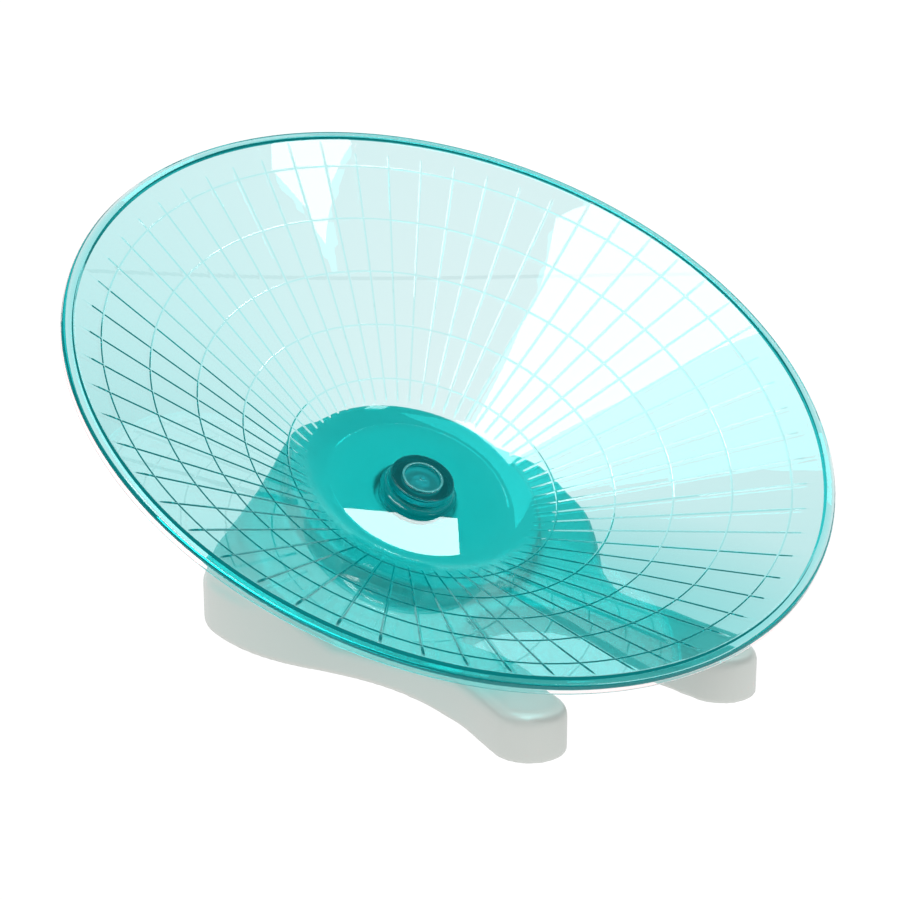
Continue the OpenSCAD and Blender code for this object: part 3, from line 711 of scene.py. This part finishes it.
flat_paper("Pale floor", (4.1, 1.26, 1.26, 1), -1.5, 0.602)
# A slightly darker strip at the floor's far edge, seen only through the dish: a painted shadow line.
flat_paper("Painted shadow line at the floor edge", (3.6, 1.14, 1.14, 1), 0.602, 0.612)

world = bpy.data.worlds.new("Studio")
world.use_nodes = True
bpy.context.scene.world = world
tree = world.node_tree
tree.nodes.clear()
path = add(tree, "ShaderNodeLightPath")
inward = add(tree, "ShaderNodeTexCoord").outputs["Generated"]
height = add(tree, "ShaderNodeSeparateXYZ", Vector=inward).outputs["Z"]
glow = add(tree, "ShaderNodeMapRange", Value=height, From_Min=0.12, From_Max=0.24, To_Min=0.8, To_Max=0.06)
side = add(tree, "ShaderNodeMapRange", Value=height, From_Min=0.1, From_Max=0.7, To_Min=0.9, To_Max=0.5)
diffuse_or_gloss = add(tree, "ShaderNodeMix", {"data_type": "RGBA"}, _0=path.outputs["Is Glossy Ray"],
                       _6=side.outputs[0], _7=glow.outputs[0])
low_down = add(tree, "ShaderNodeMapRange", Value=height, From_Min=0.45, From_Max=0.75, To_Min=1.0, To_Max=0.0)
backlight = add(tree, "ShaderNodeMix", {"data_type": "RGBA"}, _0=low_down.outputs[0], _6=(0.1, 0.1, 0.1, 1),
                _7=(4.1, 1.26, 1.26, 1))
first = add(tree, "ShaderNodeMath", {"operation": "LESS_THAN"}, _0=path.outputs["Diffuse Depth"], _1=0.5)
spread = add(tree, "ShaderNodeMix", {"data_type": "RGBA"}, _0=first.outputs[0], _6=(0.6, 1.6, 1.6, 1),
             _7=backlight.outputs[2])
through = add(tree, "ShaderNodeMix", {"data_type": "RGBA"}, _0=path.outputs["Is Transmission Ray"],
              _6=diffuse_or_gloss.outputs[2], _7=spread.outputs[2])
seen = add(tree, "ShaderNodeMix", {"data_type": "RGBA"}, _0=path.outputs["Is Camera Ray"],
           _6=through.outputs[2], _7=(1.05, 1.05, 1.05, 1))
back = add(tree, "ShaderNodeBackground", Color=seen.outputs[2], Strength=1.0)
add(tree, "ShaderNodeOutputWorld", Surface=back.outputs[0])


def softbox(name, corner, along_x, along_y, brightness, gloss_only=True):
    """A lamp from one corner along two edges, in metres, facing down. Seen in gloss, or else lights."""
    a, b = np.array(along_x, float), np.array(along_y, float)
    lamp = bpy.data.lights.new(name, "AREA")
    lamp.shape = "RECTANGLE"
    lamp.size, lamp.size_y = np.linalg.norm(a), np.linalg.norm(b)
    lamp.energy = brightness * math.pi * lamp.size * lamp.size_y
    lamp_object = bpy.data.objects.new(name, lamp)
    bpy.context.scene.collection.objects.link(lamp_object)
    u, v = a / lamp.size, b / lamp.size_y
    w = np.cross(u, v)
    if w[2] < 0:
        v, w = -v, -w
    centre = np.array(corner) + (a + b) / 2
    turn = np.eye(4)
    turn[:3, 0], turn[:3, 1], turn[:3, 2], turn[:3, 3] = u, v, w, centre
    lamp_object.matrix_world = Matrix(turn.tolist())
    lamp_object.visible_diffuse = not gloss_only
    lamp_object.visible_glossy = gloss_only


softbox("overhead softbox", (-0.5, -0.5, 1.2), (0.5, 0, 0), (0, 0.55, 0), 5.5)
softbox("right softbox", (0.758, 0.166, 1.2), (-0.14, 0.059, 0), (-0.01, -0.06, 0), 10.0)
softbox("front softbox", (0.79, -0.89, 1.2), (-0.24, 0.135, 0), (0.08, 0.16, 0), 5.5)
softbox("ceiling light", (-0.6, -0.6, 1.5), (1.2, 0, 0), (0, 1.2, 0), 6.0, False)

LENS_MM = 90.05
CAMERA_DISTANCE = 0.8488
CAMERA_ELEVATION = 17.603
CAMERA_AZIMUTH = -34.970
camera_data = bpy.data.cameras.new("camera")
camera_data.lens = LENS_MM
camera_data.sensor_width = 36
camera = bpy.data.objects.new("camera", camera_data)
bpy.context.scene.collection.objects.link(camera)
elevation, azimuth = math.radians(CAMERA_ELEVATION), math.radians(CAMERA_AZIMUTH)
target = np.array((-5.475, -1.0555, 75.0)) / 1000
back_way = np.array((math.sin(azimuth) * math.cos(elevation), -math.cos(azimuth) * math.cos(elevation),
                     math.sin(elevation)))
camera.location = target + CAMERA_DISTANCE * back_way
camera.rotation_euler = (math.pi / 2 - elevation, 0, azimuth)
bpy.context.scene.camera = camera

bpy.context.scene.view_settings.view_transform = "Standard"
bpy.context.scene.cycles.caustics_refractive = False
bpy.context.scene.cycles.caustics_reflective = False
bpy.context.scene.cycles.max_bounces = 24
bpy.context.scene.cycles.transmission_bounces = 24
